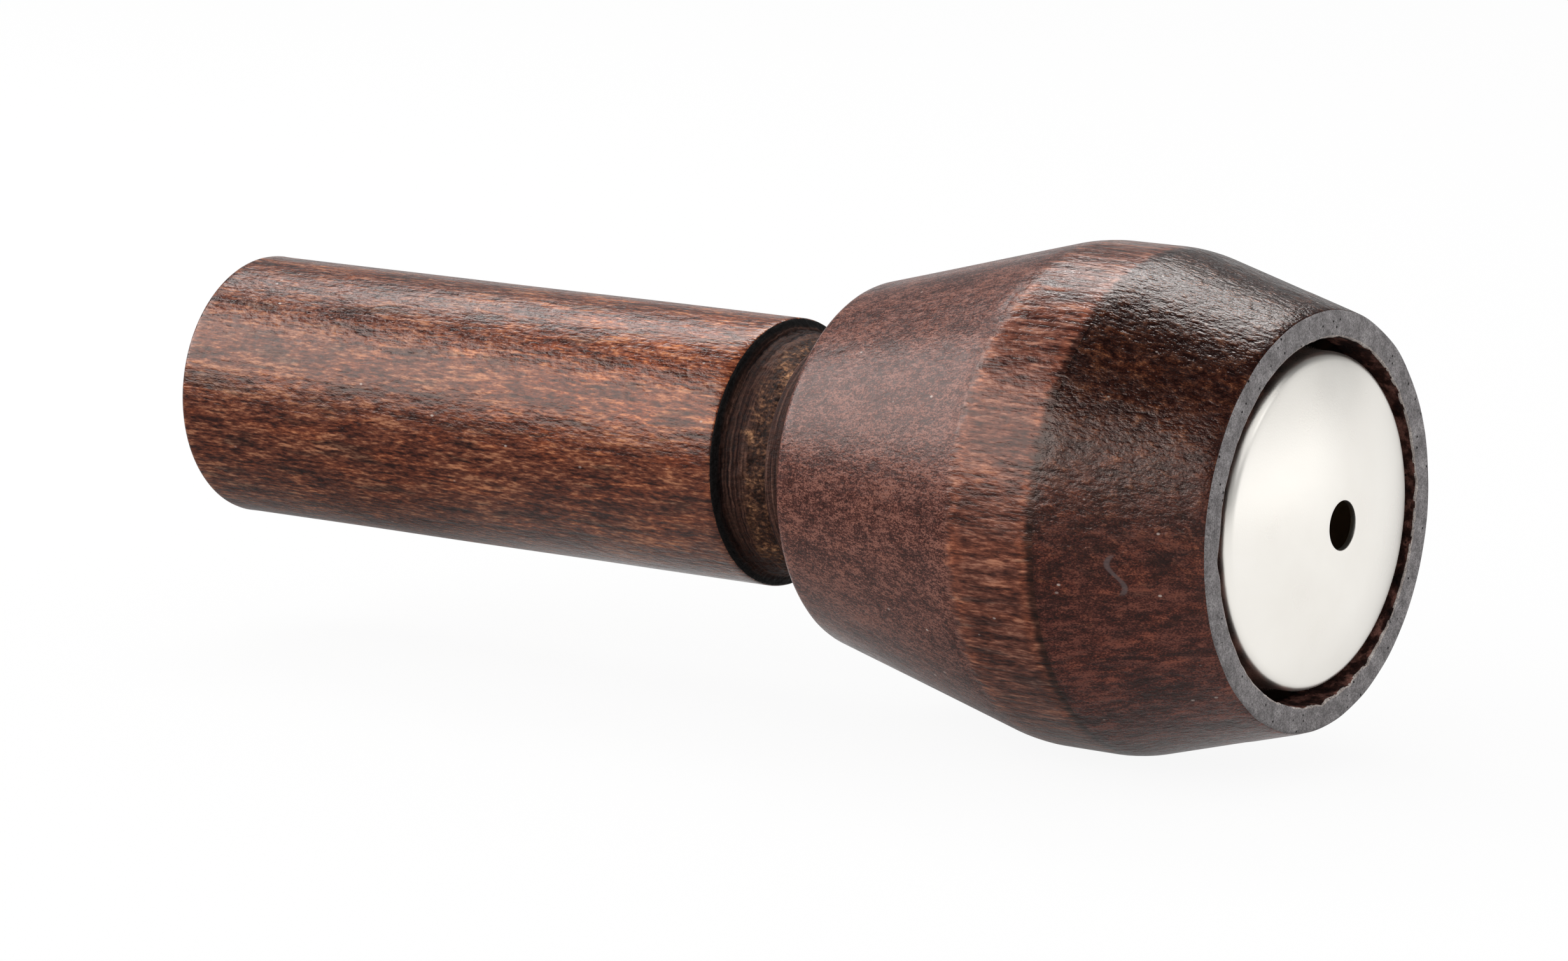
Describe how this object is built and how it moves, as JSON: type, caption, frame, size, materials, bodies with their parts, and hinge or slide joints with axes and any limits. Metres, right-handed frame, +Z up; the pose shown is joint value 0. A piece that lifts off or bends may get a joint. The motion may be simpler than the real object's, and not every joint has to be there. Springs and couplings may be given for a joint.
{
  "type": "bird call",
  "caption": "Mouth-blown wooden bird call: a turned stem pushed into a flared barrel, which holds a domed whistle capsule with a small central hole.",
  "frame": {"origin": "centre of the airway at the mouth end of the stem", "axes": "+X along the call from the mouth end to the sounding end, +Z up, +Y to the far side"},
  "size_m": [0.0839, 0.031, 0.031],
  "materials": {
    "stem_wood": "red-brown stained hardwood with a satin varnish",
    "barrel_wood": "dark-stained hardwood with a satin varnish and a bare end-grain rim",
    "seal_rubber": "black, lightly greased",
    "washer_leather": "plain tan",
    "capsule_metal": "satin nickel"
  },
  "bodies": {
    "stem": {"stem": "stem_wood"},
    "seal_rings": {"o_ring_rear": "seal_rubber", "o_ring_front": "seal_rubber"},
    "barrel": {"barrel": "barrel_wood", "seat_washer": "washer_leather", "rear_dish": "capsule_metal", "front_dish": "capsule_metal"}
  },
  "joints": [
    {"name": "barrel_twist", "type": "hinge", "parent": "stem", "child": "seal_rings", "pos_m": [0.0545, 0, 0], "axis": [1, 0, 0], "continuous": true},
    {"name": "barrel_pull", "type": "slide", "parent": "seal_rings", "child": "barrel", "axis": [1, 0, 0], "range_m": [0, 0.0155]}
  ]
}
